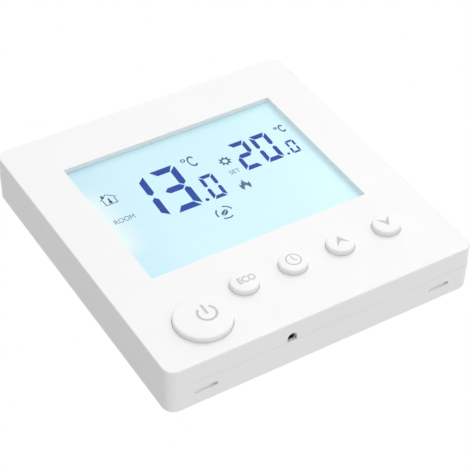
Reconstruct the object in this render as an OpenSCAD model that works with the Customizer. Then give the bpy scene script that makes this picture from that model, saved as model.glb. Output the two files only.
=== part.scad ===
// Wall thermostat with a backlit segment display and a row of five push buttons.
// A flush power box and its mounting plate stay on the wall. The display unit, which holds the
// display, the control board and the buttons, pulls straight off the plate.
// Each piece is drawn with x to the right, y up the face and z out of the wall, from the centre of
// the plate's back face. wall_frame() then stands it up, so that the wall is the plane Y = 0, the
// front face looks along -Y and the top of the display is +Z.

/* [Display unit] */
// Width of the front face
body_w = 86; // [85:0.5:90]
// Height of the front face
body_h = 90; // [89:0.5:94]
// Depth from the wall to the front face
body_d = 13.2; // [13:0.1:15]
// Radius of the four upright corners
corner_r = 3; // [2.5:0.1:4]
// Rounding of the edge round the front face
edge_r = 0.35; // [0.2:0.05:0.6]
// Depth of the front cover, from the face to the seam
cover_d = 5.6; // [5.2:0.1:6]
// Wall thickness of the two shells
shell_t = 1.8; // [1.6:0.1:2]
// Thickness of the front face
face_t = 1.4; // [1.2:0.1:1.6]
// How far the rear shell stands out beyond the front cover at the seam, on each side
rim_out = 0.14; // [0:0.02:0.2]
// Draft of the rear shell, on each side
rear_draft = 0.1; // [0:0.05:0.3]
// Gap between the rear shell's edge and the wall
wall_gap = 0.2; // [0:0.1:0.4]
// Thickness of the rear shell's back wall
back_t = 1.2; // [1:0.1:1.4]

/* [Display window] */
// Width of the window
window_w = 61.5; // [58:0.5:62]
// Height of the window
window_h = 46; // [42:0.5:46]
// Height of the window's centre above the centre of the face
window_y = 7.3; // [7:0.1:8]

/* [Display stack] */
// Thickness of the foam gasket round the window
gasket_t = 0.2; // [0.1:0.1:0.3]
// Thickness of the polariser, of the diffuser and of the reflector
film_t = 0.2; // [0.1:0.1:0.2]
// Thickness of each of the two display glasses
glass_t = 0.9; // [0.7:0.1:1.1]
// Thickness of the light guide
guide_t = 2; // [1.6:0.1:2]
// Width of the display glass
glass_w = 66; // [65:0.5:66]
// Height of the front glass, which carries the contact ledge
glass_h = 51.6; // [51:0.1:51.6]
// Width of the contact ledge along the front glass's lower edge
ledge_w = 2; // [1.9:0.1:2]

/* [Buttons] */
// Radius of the power button
power_r = 7.2; // [6.8:0.1:7.4]
// Radius of the four small buttons
small_r = 3.6; // [3.2:0.1:3.8]
// Height of the buttons above the face
cap_rise = 1.3; // [1:0.1:1.5]
// Rounding of the buttons' upper edge
cap_edge = 0.45; // [0.2:0.05:0.5]
// Radial clearance of a button in its hole
cap_gap = 0.1; // [0.1:0.05:0.2]
// Travel of a button
cap_travel = 0.4; // [0.3:0.1:0.4]
// Centre of the power button, right of and above the face's centre
power_pos = [-27.3, -33.6]; // [-45:0.1:45]
// Centre of the first small button
row_start = [-12.9, -28.4]; // [-45:0.1:45]
// Pitch of the four small buttons
row_pitch = 13.7; // [13:0.1:13.8]

/* [Edge details] */
// Distance of each pry notch from the centre line
pry_x = 33; // [32:0.5:34]
// Length of a pry notch
pry_w = 6; // [4:0.2:6]
// Height of a pry notch
pry_h = 1.1; // [0.9:0.1:1.2]
// Depth of a pry notch at its deep end
pry_d = 1.2; // [1:0.1:1.2]
// Distance of the sensor hole from the centre line
sensor_x = -9.8; // [-12:0.1:-8]
// Width of the sensor hole
sensor_w = 2.7; // [2.4:0.1:3]
// Height of the sensor hole above the seam
sensor_h = 2.4; // [2:0.1:2.6]

/* [Boards] */
// Thickness of the two circuit boards
board_t = 1.6; // [1.4:0.1:1.6]
// Gap between the control board and the shells' side walls
board_gap = 0.6; // [0.5:0.1:0.8]
// Pitch of the connector between the display unit and the power box
pin_pitch = 2.54; // [2.5:0.01:2.54]

/* [Mounting plate] */
// Thickness of the mounting plate
plate_t = 2; // [2:0.1:2.2]
// Gap between the plate and the rear shell round it
plate_gap = 0.5; // [0.4:0.1:0.8]
// Distance between the two slots of each pair
slot_pitch = 60; // [60:60]
// Half the width of a slot
slot_r = 2.1; // [2.1:2.1]
// End-to-end length of a slot
slot_l = 9; // [9:9]
// Depth of the rebate in the plate's back that the power box sits in
rebate_d = 0.5; // [0.3:0.1:0.6]

/* [Power box] */
// Width of the box
box_w = 48; // [47:0.5:48]
// Height of the box
box_h = 46; // [46:0.5:47]
// Depth of the box behind the wall's face
box_d = 22; // [22:0.5:24]
// Wall thickness of the box
box_t = 1.5; // [1.3:0.1:1.5]
// Number of poles in the terminal block
poles = 7; // [5:1:7]
// Pitch of the poles
pole_pitch = 5; // [5:5]

/* [Hidden] */
$fn = 64;
eps = 0.05;
hull_fn = 32;

// Levels above the wall, from the front face down to the control board
face_in = body_d - face_t;
lcd_top = face_in - gasket_t;
front_glass_z = lcd_top - film_t - glass_t;
rear_glass_z = front_glass_z - glass_t;
guide_z = rear_glass_z - film_t - guide_t;
board_top = guide_z - film_t;
board_z = board_top - board_t;
seam_z = body_d - cover_d;
// Levels from the wall up to the rear shell's back wall
back_z = plate_t + 0.2;
back_top = back_z + back_t;

// Inner size of the shells, and the half lap that closes the seam
inner_w = body_w - 2 * shell_t;
inner_h = body_h - 2 * shell_t;
lap_h = 1;
lap_t = 0.9;
lap_gap = 0.1;

// Pry notches: lower edge below the seam, and length of the deep end
pry_drop = 3.8;
pry_end = 0.9;

// Four screws hold the shells together through the control board's corners
boss_x = inner_w / 2 - 3;
boss_y = inner_h / 2 - 6.7;
boss_r = 2.6;
screw_r = 1.1;
pilot_r = screw_r + 0.02;
clear_r = 1.3;
screw_head_r = 2.2;
screw_head_h = 1.1;
screw_l = 6.9;

// Button caps and the tactile switches under them
cap_flange = 0.9;
cap_flange_h = 0.9;
cap_lift = 0.05;
cap_wall = 1.2;
stem_r = 1.3;
switch_w = 4.5;
switch_h = 1.6;
switch_bore_r = 1.2;
plunger_r = 1.15;
plunger_h = 1.6;
plunger_up = 0.9;
switch_floor = switch_h + plunger_up - plunger_h - cap_travel - 0.2;
button_pos = [
    power_pos,
    for (i = [0 : 3]) row_start + [i * row_pitch, 0]
];
button_r = [power_r, small_r, small_r, small_r, small_r];

// Display stack in plan
glass_y = window_y;
frame_t = 1.2;
glass_fit = 0.05;
guide_w = 62;
guide_h = 46.5;
guide_y = glass_y + 0.2;
zebra_w = 60;
zebra_t = 1.5;
zebra_y = glass_y - glass_h / 2 + 0.3 + zebra_t / 2;
led_size = [1.6, 3, 1.3];
led_step = 15;
led_x = -guide_w / 2 - led_size[0] / 2 - 0.1;
peg_r = 0.8;

// Parts on the back of the control board: sizes, places and steps
mcu_size = 10;
mcu_pos = [-16, 14];
driver_size = 7;
driver_pos = [14, 16];
lead_pitch = 0.5;
crystal_size = [7, 1.6, 1.3];
crystal_pos = [-16, 25];
cell_r = 6.25;
cell_h = 1.6;
cell_pos = [24, -16];
chip_l = 1.6;
chip_w = 0.8;
resistor_h = 0.5;
resistor_start = [-8, 26];
resistor_step = [2.4, 3];
ceramic_h = 0.8;
ceramic_start = [-28, 6];
ceramic_step = [-2.4, 2];

// Connector between the display unit and the power box
header_pos = [0, -7];
header_cols = 5;
header_w = header_cols * pin_pitch;
header_d = 5;
header_h = 2.5;
pin_w = 0.64;
pin_end_z = -2;
pin_hole_w = 0.84;

// Tabs on the plate that hold the display unit: two hooks above, two latches below
tab_w = 8;
tab_t = 1.2;
tab_top = back_top + 1.5;
tab_nose = 0.3;
hook_x = 28;
plate_w = body_w - 2 * (rear_draft + shell_t + plate_gap);
plate_h = body_h - 2 * (rear_draft + shell_t + plate_gap);
tab_y = plate_h / 2 - tab_t / 2 - 0.05;

// Power box
box_r = 2;
box_in_w = box_w - 2 * box_t;
box_in_h = box_h - 2 * box_t;
box_floor = -box_d + box_t;
post_x = box_in_w / 2 - 2.3;
post_y = box_in_h / 2 - 2.3;
post_r = 2.2;
rest_r = 2;
rest_pos = [[-20.5, 6], [20.5, 4.2]];
sunk_head_h = 0.8;
box_gap = 0.1;
power_board_top = -2.4;
power_board_z = power_board_top - board_t;

// Parts on the power board: sizes and places, all of them hanging behind the board
relay_size = [29, 12.7, 15.7];
relay_pos = [-3, 13.2];
core_size = [14, 5, 12];
core_leg = 3.6;
core_bar = 1.8;
core_mid = [-13, -3, power_board_z - 7];
core_in = [core_size[0] - 2 * core_bar, core_size[2] - 2 * core_bar];
coil_depth = 11;
bulk_r = 4;
bulk_h = 12.5;
bulk_pos = [1, -5];
output_r = 2.5;
output_h = 9;
output_pos = [8, 2.4];
film_size = [13, 5, 11];
film_pos = [14, -8.5];
varistor_r = 3.5;
varistor_t = 3.2;
varistor_pos = [17, -1];
fuse_r = 4.1;
fuse_h = 8;
fuse_pos = [17, 13.4];
power_chip_size = [5, 4, 1.4];
power_chip_pos = [-12, 8];
power_chip_pitch = 1.27;

// Terminal block
block_w = poles * pole_pitch + 0.6;
block_d = 10.2;
block_y0 = -box_h / 2 + 0.1;
block_z0 = -box_d + 0.2;
pole_y = block_y0 + 5;
wire_r = 1.75;
wire_z = -11.2;
cage = [3.8, 4.6, 6.4];
cage_z = wire_z - cage[2] / 2;
term_head_z = -19;
term_head_r = 1.7;
term_shank_r = 1.3;

// Stands a piece that is drawn on its back up against the wall
module wall_frame() {
    rotate([90, 0, 0])
        children();
}

// Rectangle with round corners, centred
module rounded_rect(w, h, r) {
    square([w - 2 * r, h], center = true);
    square([w, h - 2 * r], center = true);
    for (x = [-1, 1], y = [-1, 1])
        translate([x * (w / 2 - r), y * (h / 2 - r)])
            circle(r);
}

// Plate with round corners between two levels
module slab(w, h, r, z0, z1) {
    translate([0, 0, z0])
        linear_extrude(z1 - z0)
            rounded_rect(w, h, r);
}

// Box centred in plan on a point, between two levels
module block(size, centre, z0, z1) {
    translate([centre[0] - size[0] / 2, centre[1] - size[1] / 2, z0])
        cube([size[0], size[1], z1 - z0]);
}

// Upright cylinder on a point, between two levels
module post(r, centre, z0, z1) {
    translate([centre[0], centre[1], z0])
        cylinder(r = r, h = z1 - z0);
}

// Slot that runs along x between two levels
module slot(r, l, centre, z0, z1) {
    for (s = [-1, 1])
        post(r, centre + [s * (l / 2 - r), 0], z0, z1);
    block([l - 2 * r, 2 * r], centre, z0, z1);
}

// Puts its children at all four corners of a rectangle
module corners(x, y) {
    for (sx = [-1, 1], sy = [-1, 1])
        translate([sx * x, sy * y, 0])
            children();
}

// Turned profile of a part that is flat below and has a round upper edge
module round_top(r, h, edge) {
    rotate_extrude() {
        square([r - edge, h]);
        square([r, h - edge]);
        translate([r - edge, h - edge])
            intersection() {
                circle(edge);
                square(edge);
            }
    }
}

// Outer form of the front cover: straight corners and a rounded edge round the face
module cover_form() {
    hull()
        corners(body_w / 2 - corner_r, body_h / 2 - corner_r)
            translate([0, 0, seam_z]) {
                cylinder(r = corner_r, h = cover_d - edge_r, $fn = hull_fn);
                for (a = [30 : 30 : 90])
                    translate([0, 0, cover_d - edge_r * (1 - sin(a)) - eps])
                        cylinder(r = corner_r - edge_r * (1 - cos(a)), h = eps, $fn = hull_fn);
            }
}

// Front cover: the white shell with the window and the button holes
module front_cover() {
    color("white")
    wall_frame()
    difference() {
        union() {
            difference() {
                union() {
                    cover_form();
                    slab(inner_w + 2 * lap_t, inner_h + 2 * lap_t, 2.2, seam_z - lap_h, seam_z + eps);
                }
                slab(inner_w, inner_h, 1.4, seam_z - lap_h - eps, face_in);
            }
            corners(boss_x, boss_y)
                translate([0, 0, board_top])
                    cylinder(r = boss_r, h = face_in - board_top + eps);
        }
        block([window_w, window_h], [0, window_y], face_in - eps, body_d + eps);
        for (i = [0 : 4])
            post(button_r[i] + cap_gap, button_pos[i], face_in - eps, body_d + eps);
        corners(boss_x, boss_y)
            translate([0, 0, board_top - eps])
                cylinder(r = pilot_r, h = 3.4);
        sensor_hole();
    }
}

// D-shaped air hole over the room sensor, with its flat side on the seam
module sensor_hole() {
    arch_z = seam_z + sensor_h - sensor_w / 2;
    translate([sensor_x, -body_h / 2 + shell_t + eps, 0]) {
        translate([0, 0, arch_z])
            rotate([90, 0, 0])
                cylinder(r = sensor_w / 2, h = shell_t + 2 * eps);
        translate([-sensor_w / 2, -shell_t - 2 * eps, seam_z - lap_h - eps])
            cube([sensor_w, shell_t + 2 * eps, arch_z - seam_z + lap_h + eps]);
    }
}

// Rear shell: side walls with a slight draft, a back wall and a recess for the mounting plate
module rear_shell() {
    color("white")
    wall_frame()
    difference() {
        union() {
            difference() {
                hull()
                    corners(body_w / 2 - corner_r, body_h / 2 - corner_r)
                        translate([0, 0, wall_gap])
                            cylinder(r1 = corner_r + rim_out - rear_draft,
                                r2 = corner_r + rim_out, h = seam_z - wall_gap, $fn = hull_fn);
                slab(inner_w, inner_h, 1.4, back_top, seam_z + eps);
                slab(inner_w + 2 * (lap_t + lap_gap), inner_h + 2 * (lap_t + lap_gap), 2.3,
                    seam_z - lap_h - lap_gap, seam_z + eps);
                slab(plate_w + 2 * plate_gap, plate_h + 2 * plate_gap, 1.6, wall_gap - eps, back_z);
            }
            corners(boss_x, boss_y)
                translate([0, 0, back_z])
                    cylinder(r = 3, h = board_z - back_z);
        }
        corners(boss_x, boss_y)
            translate([0, 0, back_z - eps]) {
                cylinder(r = screw_head_r + 0.2, h = screw_head_h + 0.1 + eps);
                cylinder(r = clear_r, h = board_z - back_z + 2 * eps);
            }
        block([header_w + 2, header_d + 2], header_pos, back_z - eps, back_top + eps);
        for (x = [-1, 1]) {
            tab_opening([x * pry_x, -tab_y]);
            tab_opening([x * hook_x, tab_y]);
            translate([x * pry_x, -body_h / 2, seam_z - pry_drop])
                pry_notch();
        }
    }
}

// Notch for a screwdriver's tip: it slopes in from the left and has a short deep end
module pry_notch() {
    linear_extrude(pry_h)
        polygon([
            [-pry_w / 2, -rim_out - eps], [pry_w / 2, -rim_out - eps], [pry_w / 2, pry_d],
            [pry_w / 2 - pry_end, pry_d], [pry_w / 2 - pry_end, pry_d * 0.5],
            [-pry_w / 2, pry_d * 0.2]
        ]);
}

// Opening in the back wall that a tab of the mounting plate passes through
module tab_opening(centre) {
    block([tab_w + 1, tab_t + 0.9], centre, back_z - eps, back_top + eps);
}

// Self-tapping screw with a flat round head at the bottom and a cross recess in it
module tapping_screw(head_r, head_h, shank_r, l) {
    difference() {
        union() {
            cylinder(r = head_r, h = head_h);
            cylinder(r = shank_r, h = head_h + l);
        }
        for (a = [0, 90])
            rotate(a)
                translate([-head_r * 0.6, -0.25, -eps])
                    cube([head_r * 1.2, 0.5, head_h * 0.6]);
    }
}

// Four screws that join the rear shell, the control board and the front cover
module case_screws() {
    color("silver")
    wall_frame()
        corners(boss_x, boss_y)
            translate([0, 0, back_z + 0.1])
                tapping_screw(screw_head_r, screw_head_h, screw_r, screw_l);
}

// Foam gasket between the display and the face
module lcd_gasket() {
    color("dimgray")
    wall_frame()
    difference() {
        block([glass_w - 1.4, glass_h - 2.4], [0, glass_y + 0.2], lcd_top, face_in);
        block([window_w + 0.6, window_h + 0.4], [0, window_y + 0.05], lcd_top - eps, face_in + eps);
    }
}

// Front polariser film, the surface seen through the window
module lcd_polariser() {
    color("lightcyan")
    wall_frame()
        block([glass_w - 1, glass_h - 2], [0, glass_y + 0.2], lcd_top - film_t, lcd_top);
}

// Front glass of the display, with the contact ledge along its lower edge
module lcd_front_glass() {
    color("paleturquoise")
    wall_frame()
        block([glass_w, glass_h], [0, glass_y], front_glass_z, front_glass_z + glass_t);
}

// Rear glass of the display, shorter by the contact ledge
module lcd_rear_glass() {
    color("paleturquoise")
    wall_frame()
        block([glass_w, glass_h - ledge_w], [0, glass_y + ledge_w / 2], rear_glass_z, front_glass_z);
}

// Rear polariser and diffuser film
module diffuser_film() {
    color("whitesmoke")
    wall_frame()
        block([guide_w, guide_h], [0, guide_y], guide_z + guide_t, rear_glass_z);
}

// Acrylic light guide that spreads the backlight, with a step where each light sits
module light_guide() {
    color("aliceblue")
    wall_frame()
        block([guide_w, guide_h], [0, guide_y], guide_z, guide_z + guide_t);
}

// White reflector sheet under the light guide
module reflector_sheet() {
    color("white")
    wall_frame()
        block([guide_w, guide_h], [0, guide_y], board_top, guide_z);
}

// Three side-firing lights along the light guide's left edge
module backlight_leds() {
    color("lightyellow")
    wall_frame()
        for (i = [-1 : 1])
            block([led_size[0], led_size[1]], [led_x, guide_y + i * led_step],
                board_top, board_top + led_size[2]);
}

// White frame that holds the glass, the light guide and the contact strip on the board
module lcd_frame() {
    frame_w = glass_w + 2 * (frame_t + glass_fit);
    frame_h = glass_h + 2 * (frame_t + glass_fit);
    color("gainsboro")
    wall_frame() {
        difference() {
            block([frame_w, frame_h], [0, glass_y], board_top, front_glass_z + glass_t);
            block([glass_w + 2 * glass_fit, glass_h + 2 * glass_fit], [0, glass_y],
                rear_glass_z, front_glass_z + glass_t + eps);
            block([guide_w + 2 * glass_fit, guide_h + 2 * glass_fit], [0, guide_y],
                board_top - eps, rear_glass_z + eps);
            block([zebra_w + 2 * glass_fit, zebra_t + 2 * glass_fit], [0, zebra_y],
                board_top - eps, rear_glass_z + eps);
            for (i = [-1 : 1])
                block([led_size[0] + 0.4, led_size[1] + 0.4], [led_x, guide_y + i * led_step],
                    board_top - eps, board_top + led_size[2] + 0.2);
        }
        for (x = [-1, 1], y = [-1, 1])
            post(peg_r, frame_peg(x, y), board_top - 1.4, board_top + eps);
    }
}

// Place of one of the frame's four pegs
function frame_peg(x, y) = [x * (glass_w / 2 - 0.1), glass_y + y * (glass_h / 2 - 0.4)];

// Elastomer strip that connects the ledge of the front glass to the control board
module zebra_strip() {
    color("lightpink")
    wall_frame()
        block([zebra_w, zebra_t], [0, zebra_y], board_top, front_glass_z);
}

// Control board, with holes for the case screws and for the display frame's pegs
module main_pcb() {
    color("seagreen")
    wall_frame()
    difference() {
        slab(inner_w - 2 * board_gap, inner_h - 2 * board_gap, 1, board_z, board_top);
        corners(boss_x, boss_y)
            translate([0, 0, board_z - eps])
                cylinder(r = clear_r, h = board_t + 2 * eps);
        for (x = [-1, 1], y = [-1, 1])
            post(peg_r + 0.05, frame_peg(x, y), board_z - eps, board_top + eps);
    }
}

// Flat square chip with a row of leads on each side, hanging under the board
module square_chip(size, leads, pitch, centre) {
    body_h = 1.4;
    lead_l = 1;
    translate([centre[0], centre[1], board_z]) {
        translate([-size / 2, -size / 2, -body_h - 0.1])
            cube([size, size, body_h]);
        for (a = [0 : 90 : 270], i = [0 : leads - 1])
            rotate(a)
                translate([(i - (leads - 1) / 2) * pitch - 0.1, size / 2 - eps, -0.5])
                    cube([0.2, lead_l, 0.5]);
    }
}

// Microcontroller on the back of the control board
module mcu_chip() {
    color("#202020")
    wall_frame()
        square_chip(mcu_size, 16, lead_pitch, mcu_pos);
}

// Display driver on the back of the control board
module lcd_driver_chip() {
    color("#202020")
    wall_frame()
        square_chip(driver_size, 11, lead_pitch, driver_pos);
}

// Clock crystal beside the microcontroller
module clock_crystal() {
    color("silver")
    wall_frame()
        block(crystal_size, crystal_pos, board_z - crystal_size[2], board_z);
}

// Coin cell that keeps the clock going, lying against the back of the board
module backup_cell() {
    color("silver")
    wall_frame() {
        post(cell_r, cell_pos, board_z - 0.1 - cell_h, board_z - 0.1);
        for (s = [-1, 1])
            block([2.4, 3], cell_pos + [0, s * (cell_r + 0.95)], board_z - 0.15, board_z);
    }
}

// Chip resistors on the back of the control board
module smd_resistors() {
    color("#303030")
    wall_frame()
        for (i = [0 : 7], j = [0 : 1])
            block([chip_w, chip_l],
                resistor_start + [i * resistor_step[0], j * resistor_step[1]],
                board_z - resistor_h, board_z);
}

// Chip capacitors on the back of the control board
module smd_capacitors() {
    color("tan")
    wall_frame()
        for (i = [0 : 5])
            block([chip_l, chip_w],
                ceramic_start + [(i % 2) * ceramic_step[0], i * ceramic_step[1]],
                board_z - ceramic_h, board_z);
}

// Plastic base of the pin header
module header_base() {
    color("#202020")
    wall_frame()
    difference() {
        block([header_w, header_d], header_pos, board_z - header_h, board_z);
        header_grid(pin_w, board_z - header_h - eps, board_z + eps);
    }
}

// Square pins, or the holes for them, on the connector's grid
module header_grid(w, z0, z1) {
    for (i = [0 : header_cols - 1], j = [-1, 1])
        block([w, w],
            header_pos + [(i - (header_cols - 1) / 2) * pin_pitch, j * pin_pitch / 2], z0, z1);
}

// Ten pins that plug into the power box's socket
module header_pins() {
    color("gold")
    wall_frame()
        header_grid(pin_w, pin_end_z, board_z);
}

// Room sensor: a thermistor bead close behind the air hole
module sensor_bead() {
    color("black")
    wall_frame()
        translate([sensor_x, -inner_h / 2 + 1, board_top + 1.4])
            sphere(r = 0.85);
}

// Two wire leads that hold the bead off the board
module sensor_leads() {
    lead_r = 0.2;
    color("silver")
    wall_frame()
        for (s = [-1, 1])
            translate([sensor_x + s * 0.45, -inner_h / 2 + 1.6, board_top]) {
                translate([0, 1.4, 0])
                    cylinder(r = lead_r, h = 1.4);
                translate([0, 1.4, 1.4])
                    sphere(r = lead_r);
                translate([0, 1.4, 1.4])
                    rotate([90, 0, 0])
                        cylinder(r = lead_r, h = 1.25);
            }
}

// Bodies of the five tactile switches, soldered to the front of the control board
module switch_bodies() {
    color("#303030")
    wall_frame()
        for (i = [0 : 4])
            difference() {
                union() {
                    block([switch_w, switch_w], button_pos[i], board_top, board_top + switch_h);
                    for (s = [-1, 1])
                        block([switch_w + 1.6, 0.7], button_pos[i] + [0, s * 1.5],
                            board_top, board_top + 0.2);
                }
                post(switch_bore_r, button_pos[i], board_top + switch_floor, board_top + switch_h + eps);
            }
}

// Button cap: a round top through the face, a flange behind it and a stem down to the switch
module button_cap(i) {
    r = button_r[i];
    flange_z = face_in - cap_lift - cap_flange_h;
    top_z = body_d + cap_rise;
    stem_z = board_top + switch_h + plunger_up;
    wall_frame()
    translate([button_pos[i][0], button_pos[i][1], 0]) {
        difference() {
            union() {
                translate([0, 0, flange_z])
                    round_top(r, top_z - flange_z, cap_edge);
                translate([0, 0, flange_z])
                    cylinder(r = r + cap_flange, h = cap_flange_h);
            }
            translate([0, 0, flange_z - eps])
                cylinder(r = r - cap_wall, h = top_z - flange_z - cap_wall + eps);
        }
        translate([0, 0, stem_z])
            cylinder(r = stem_r, h = top_z - stem_z - cap_wall + eps);
    }
}

// The five button caps, from left to right
module power_cap() { color("white") button_cap(0); }
module eco_cap() { color("white") button_cap(1); }
module clock_cap() { color("white") button_cap(2); }
module up_cap() { color("white") button_cap(3); }
module down_cap() { color("white") button_cap(4); }

// Plunger of a tactile switch, which the cap's stem rests on
module switch_plunger(i) {
    top = board_top + switch_h + plunger_up;
    wall_frame()
        post(plunger_r, button_pos[i], top - plunger_h, top);
}

// The five switch plungers, from left to right
module power_plunger() { color("black") switch_plunger(0); }
module eco_plunger() { color("black") switch_plunger(1); }
module clock_plunger() { color("black") switch_plunger(2); }
module up_plunger() { color("black") switch_plunger(3); }
module down_plunger() { color("black") switch_plunger(4); }

// Mounting plate: screws to the wall box through its slots and carries the display unit's tabs
module mounting_plate() {
    head_pocket = [3.9, slot_l + 3.6];
    color("gainsboro")
    wall_frame()
    difference() {
        union() {
            slab(plate_w, plate_h, 2, 0, plate_t);
            for (x = [-1, 1]) {
                holding_tab([x * pry_x, -tab_y], -1);
                holding_tab([x * hook_x, tab_y], 1);
            }
        }
        for (s = [-1, 1]) {
            slot(slot_r, slot_l, [s * slot_pitch / 2, 0], -eps, plate_t + eps);
            slot(head_pocket[0], head_pocket[1], [s * slot_pitch / 2, 0],
                plate_t / 2, plate_t + eps);
            translate([0, s * slot_pitch / 2, 0])
                rotate(90) {
                    slot(slot_r, slot_l, [0, 0], -eps, plate_t + eps);
                    slot(head_pocket[0], head_pocket[1], [0, 0], plate_t / 2, plate_t + eps);
                }
        }
        block([header_w + 1, header_d + 1], header_pos, -eps, plate_t + eps);
        slab(box_w + 2 * box_gap, box_h + 2 * box_gap, box_r + box_gap, -eps, rebate_d);
        corners(post_x, post_y) {
            translate([0, 0, -eps])
                cylinder(r = clear_r, h = plate_t + 2 * eps);
            translate([0, 0, plate_t - sunk_head_h - box_gap])
                cylinder(r = screw_head_r + 0.1, h = sunk_head_h + box_gap + eps);
        }
    }
}

// Upright tab at the plate's edge, with a small nose that points outwards
module holding_tab(centre, side) {
    block([tab_w, tab_t], centre, plate_t - eps, tab_top);
    block([tab_w - 2, tab_nose + eps], centre + [0, side * (tab_t / 2 + tab_nose / 2)],
        back_top + 0.3, back_top + 1);
}

// Power box: an open tray behind the plate, cut away at the back for the terminal block
module power_box() {
    color("gainsboro")
    wall_frame()
    difference() {
        union() {
            difference() {
                slab(box_w, box_h, box_r, -box_d, rebate_d);
                slab(box_in_w, box_in_h, 1, box_floor, rebate_d + eps);
            }
            corners(post_x, post_y)
                translate([0, 0, box_floor - eps])
                    cylinder(r = post_r, h = rebate_d - box_floor + eps);
            for (p = rest_pos)
                post(rest_r, p, box_floor - eps, power_board_z);
        }
        block([block_w + 0.3, block_d + 0.5], [0, block_y0 + block_d / 2 - 0.05],
            -box_d - eps, power_board_z);
        corners(post_x, post_y)
            translate([0, 0, -8])
                cylinder(r = pilot_r, h = 8 + rebate_d + eps);
        for (p = rest_pos)
            post(pilot_r, p, power_board_z - 5, power_board_z + eps);
    }
}

// Four screws that hold the box to the plate, their heads sunk in the plate's front
module box_screws() {
    color("silver")
    wall_frame()
        corners(post_x, post_y)
            translate([0, 0, plate_t - box_gap])
                mirror([0, 0, 1])
                    tapping_screw(screw_head_r, sunk_head_h, screw_r, 7);
}

// Power board, notched round the corner posts
module power_pcb() {
    color("seagreen")
    wall_frame()
    difference() {
        block([box_in_w - 0.6, box_in_h - 0.6], [0, 0], power_board_z, power_board_top);
        corners(post_x, post_y)
            translate([0, 0, power_board_z - eps])
                cylinder(r = post_r + 0.3, h = board_t + 2 * eps);
        corners(post_x + 2.4, post_y + 2.4)
            translate([-2.7, -2.7, power_board_z - eps])
                cube([5.4, 5.4, board_t + 2 * eps]);
        for (p = rest_pos)
            post(clear_r, p, power_board_z - eps, power_board_top + eps);
    }
}

// Two screws that hold the power board on its rests
module pcb_screws() {
    color("silver")
    wall_frame()
        for (p = rest_pos)
            translate([p[0], p[1], power_board_top + screw_head_h])
                mirror([0, 0, 1])
                    tapping_screw(1.9, screw_head_h, screw_r, 6);
}

// Puts its children at each pole of the terminal block
module each_pole() {
    for (i = [0 : poles - 1])
        translate([(i - (poles - 1) / 2) * pole_pitch, pole_y, 0])
            children();
}

// Terminal block: wire holes in its lower face and screw wells in its back
module terminal_block() {
    color("#3a7a4a")
    wall_frame()
    difference() {
        block([block_w, block_d], [0, block_y0 + block_d / 2], block_z0, power_board_z);
        each_pole() {
            translate([-cage[0] / 2 - 0.1, -cage[1] / 2 - 0.1, cage_z - 0.1])
                cube([cage[0] + 0.2, cage[1] + 0.2, cage[2] + 0.2]);
            translate([0, 0, block_z0 - eps])
                cylinder(r = term_head_r + 0.15, h = 4.5);
            translate([0, 0, block_z0])
                cylinder(r = term_shank_r + 0.1, h = cage_z - block_z0);
            translate([0, 0, wire_z])
                rotate([90, 0, 0])
                    cylinder(r = wire_r, h = 6);
        }
    }
}

// Clamp cages that grip the wires
module terminal_clamps() {
    color("lightgray")
    wall_frame()
        each_pole()
            difference() {
                translate([-cage[0] / 2, -cage[1] / 2, cage_z])
                    cube(cage);
                translate([-1.4, -cage[1] / 2 - eps, wire_z - 1.6])
                    cube([2.8, cage[1] + 2 * eps, 3.4]);
                translate([0, 0, cage_z - eps])
                    cylinder(r = term_shank_r + 0.02, h = 2);
            }
}

// Slotted clamp screws
module terminal_screws() {
    color("silver")
    wall_frame()
        each_pole()
            difference() {
                translate([0, 0, term_head_z]) {
                    cylinder(r = term_head_r, h = 1.6);
                    cylinder(r = term_shank_r, h = 6.5);
                }
                translate([-term_head_r - eps, -0.3, term_head_z - eps])
                    cube([2 * term_head_r + 2 * eps, 0.6, 0.8]);
            }
}

// Relay that switches the heating load
module relay() {
    color("#2050a0")
    wall_frame()
        block(relay_size, relay_pos, power_board_z - relay_size[2], power_board_z);
}

// Ferrite core of the supply transformer: a frame with a middle leg
module transformer_core() {
    color("#404040")
    wall_frame()
    translate(core_mid) {
        difference() {
            cube(core_size, center = true);
            cube([core_in[0], core_size[1] + 2 * eps, core_in[1]], center = true);
        }
        cube([core_leg, core_size[1], core_in[1] + 2 * eps], center = true);
    }
}

// Coil of the supply transformer, wound round the middle leg
module transformer_coil() {
    color("#d8b020")
    wall_frame()
    translate(core_mid)
        difference() {
            cube([core_in[0] - 0.2, coil_depth, core_in[1] - 0.2], center = true);
            cube([core_leg + 0.2, core_size[1] + 0.2, core_in[1]], center = true);
        }
}

// Mains smoothing capacitor
module bulk_capacitor() {
    color("#1c2c50")
    wall_frame()
        post(bulk_r, bulk_pos, power_board_z - bulk_h, power_board_z);
}

// Output smoothing capacitor
module output_capacitor() {
    color("#1c2c50")
    wall_frame()
        post(output_r, output_pos, power_board_z - output_h, power_board_z);
}

// Film capacitor across the mains
module film_capacitor() {
    color("goldenrod")
    wall_frame()
        block(film_size, film_pos, power_board_z - film_size[2], power_board_z);
}

// Varistor disc that takes surges
module varistor() {
    color("#205080")
    wall_frame()
        translate([varistor_pos[0], varistor_pos[1], power_board_z - 0.5 - varistor_r])
            rotate([90, 0, 0])
                cylinder(r = varistor_r, h = varistor_t);
}

// Round fuse
module fuse() {
    color("#101010")
    wall_frame()
        post(fuse_r, fuse_pos, power_board_z - fuse_h, power_board_z);
}

// Switching chip on the front of the power board
module power_chip() {
    color("#202020")
    wall_frame() {
        block(power_chip_size, power_chip_pos,
            power_board_top + 0.1, power_board_top + 0.1 + power_chip_size[2]);
        for (i = [0 : 3], s = [-1, 1])
            block([0.4, 1.2 + eps],
                power_chip_pos
                    + [(i - 1.5) * power_chip_pitch, s * (power_chip_size[1] / 2 + 0.6)],
                power_board_top, power_board_top + 0.5);
    }
}

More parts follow.
